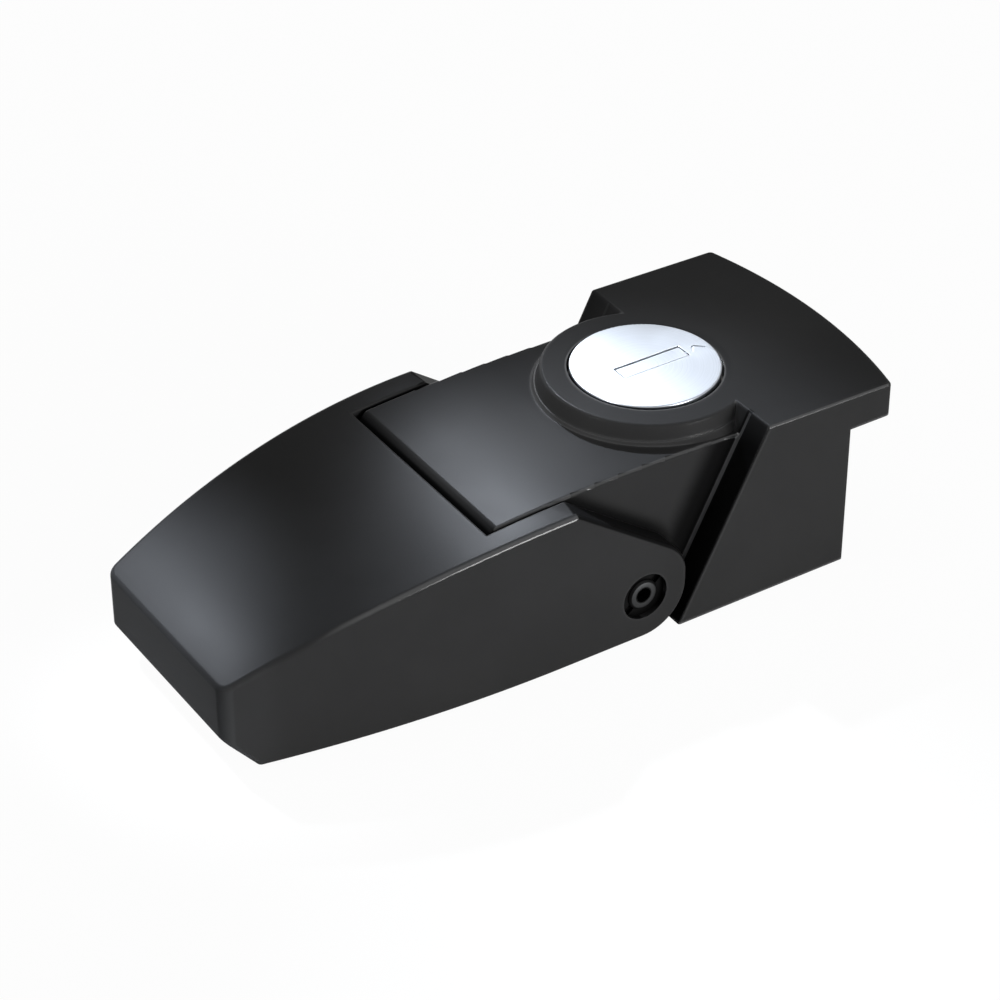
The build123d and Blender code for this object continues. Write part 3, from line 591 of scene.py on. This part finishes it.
# ---- floor, backdrop, light and camera ---------------------------------------------------
FLOOR_RADIUS = 3.0
FLOOR_WHITE = 0.965                         # share of plain white in the floor as it is seen
COOL = (0.84, 0.90, 1.0)
MIDDLE = Vector((-0.02, 0, 0.012))          # middle of the latch, which the soft boxes face
BOX_DISTANCE = 2.0
SOFT_BOXES = (                              # name, azimuth, elevation, width, watts
    ("front_key", 160, 8, 1.0, 52.0),
    ("high_fill", 300, 70, 1.2, 9.0),
    ("back_fill", 15, 12, 1.2, 10.0),
)
BEAMS = (                                   # name, place, aim, half angle, watts, colour
    ("plate_glow", (0.0630, 0.1908, 0.2181), (-0.0325, -0.0575, 0.025), 11.0, 8.7, COOL),
    ("tip_glow", (-0.1274, 0.2025, 0.2317), (-0.0801, 0.0090, 0.016), 4.85, 8.8, COOL),
    ("collar_glow", (-0.33, -0.03, 0.151), (-0.014, 0.0, 0.029), 3.3, 3.2, (1, 1, 1)),
)
CAMERA_PLACE = Vector((-0.234007, -0.321425, 0.284523))
CAMERA_AHEAD = Vector((0.446233, 0.685696, -0.575062))
CAMERA_RIGHT = Vector((0.838147, -0.545444, 0.0))
LENS, SENSOR = 118.571, 36.0                # millimetres


def seen_white(tree, lit, share):
    """Mix a lit shader with plain white for what the camera, gloss and glass see of it."""
    path = tree.node("ShaderNodeLightPath").outputs
    seen = tree.math("MAXIMUM", path["Is Camera Ray"], path["Is Glossy Ray"])
    seen = tree.math("MAXIMUM", seen, path["Is Transmission Ray"])
    white = tree.node("ShaderNodeEmission", {"Color": WHITE, "Strength": 1.0}).outputs[0]
    shown = tree.math("MULTIPLY", seen, share)
    return tree.node("ShaderNodeMixShader", {0: shown, 1: lit, 2: white}).outputs[0]


def place_object(name, data):
    """New object for some data, in the scene."""
    made = bpy.data.objects.new(name, data)
    bpy.context.scene.collection.objects.link(made)
    return made


def make_floor():
    """Plain pale floor, a wide disc whose height is zero all over."""
    turns = np.linspace(0, 2 * np.pi, 97)[:-1]
    rim = FLOOR_RADIUS * np.stack([np.cos(turns), np.sin(turns), 0 * turns], axis=1)
    mesh = bpy.data.meshes.new("floor")
    mesh.from_pydata(rim.tolist(), [], [list(range(len(rim)))])
    floor = place_object("floor", mesh)
    made = bpy.data.materials.new("floor")
    tree = empty_tree(made)
    lit = tree.node("ShaderNodeBsdfDiffuse", {"Color": (0.9, 0.9, 0.9, 1)}).outputs[0]
    tree.node("ShaderNodeOutputMaterial", {"Surface": seen_white(tree, lit, FLOOR_WHITE)})
    mesh.materials.append(made)


def make_world():
    """Soft, even light all round; white where it is seen."""
    world = bpy.data.worlds.new("studio")
    bpy.context.scene.world = world
    tree = empty_tree(world)
    dim = tree.node("ShaderNodeBackground", {"Color": (0.97, 0.98, 1.0, 1), "Strength": 0.06})
    tree.node("ShaderNodeOutputWorld", {"Surface": seen_white(tree, dim.outputs[0], 1.0)})


def hang_lamp(name, kind, place, back, power, colour=(1, 1, 1), **settings):
    """Lamp that the camera doesn't see, with its back turned to a direction."""
    data = bpy.data.lights.new(name, kind)
    data.energy, data.color = power, colour
    for key, value in settings.items():
        setattr(data, key, value)
    lamp = place_object(name, data)
    lamp.location = place
    lamp.rotation_mode = "QUATERNION"
    lamp.rotation_quaternion = back.to_track_quat("Z", "Y")
    lamp.visible_camera = False


def soft_box(name, azimuth, elevation, width, power):
    """Wide round lamp at a bearing; azimuth is from +Y towards +X, in degrees."""
    a, e = np.radians([azimuth, elevation])
    way = Vector((np.sin(a) * np.cos(e), np.cos(a) * np.cos(e), np.sin(e)))
    hang_lamp(name, "AREA", MIDDLE + BOX_DISTANCE * way, way, power, shape="DISK", size=width)


def narrow_beam(name, place, aim, half_angle, power, colour):
    """Small spot lamp with a fully feathered cone."""
    hang_lamp(name, "SPOT", place, Vector(place) - Vector(aim), power, colour,
              spot_size=np.radians(2 * half_angle), spot_blend=1.0, shadow_soft_size=0.006)


def make_camera():
    """Long lens, from the lever's tip side and above."""
    data = bpy.data.cameras.new("camera")
    data.sensor_width, data.lens = SENSOR, LENS
    data.clip_start, data.clip_end = 0.01, 20.0
    camera = place_object("camera", data)
    up = CAMERA_RIGHT.cross(CAMERA_AHEAD)
    turn = Matrix((CAMERA_RIGHT, up, -CAMERA_AHEAD)).transposed()
    camera.matrix_world = Matrix.Translation(CAMERA_PLACE) @ turn.to_4x4()
    bpy.context.scene.camera = camera


make_floor()
make_world()
for lamp in SOFT_BOXES:
    soft_box(*lamp)
for lamp in BEAMS:
    narrow_beam(*lamp)
make_camera()
bpy.context.scene.view_settings.view_transform = "Standard"
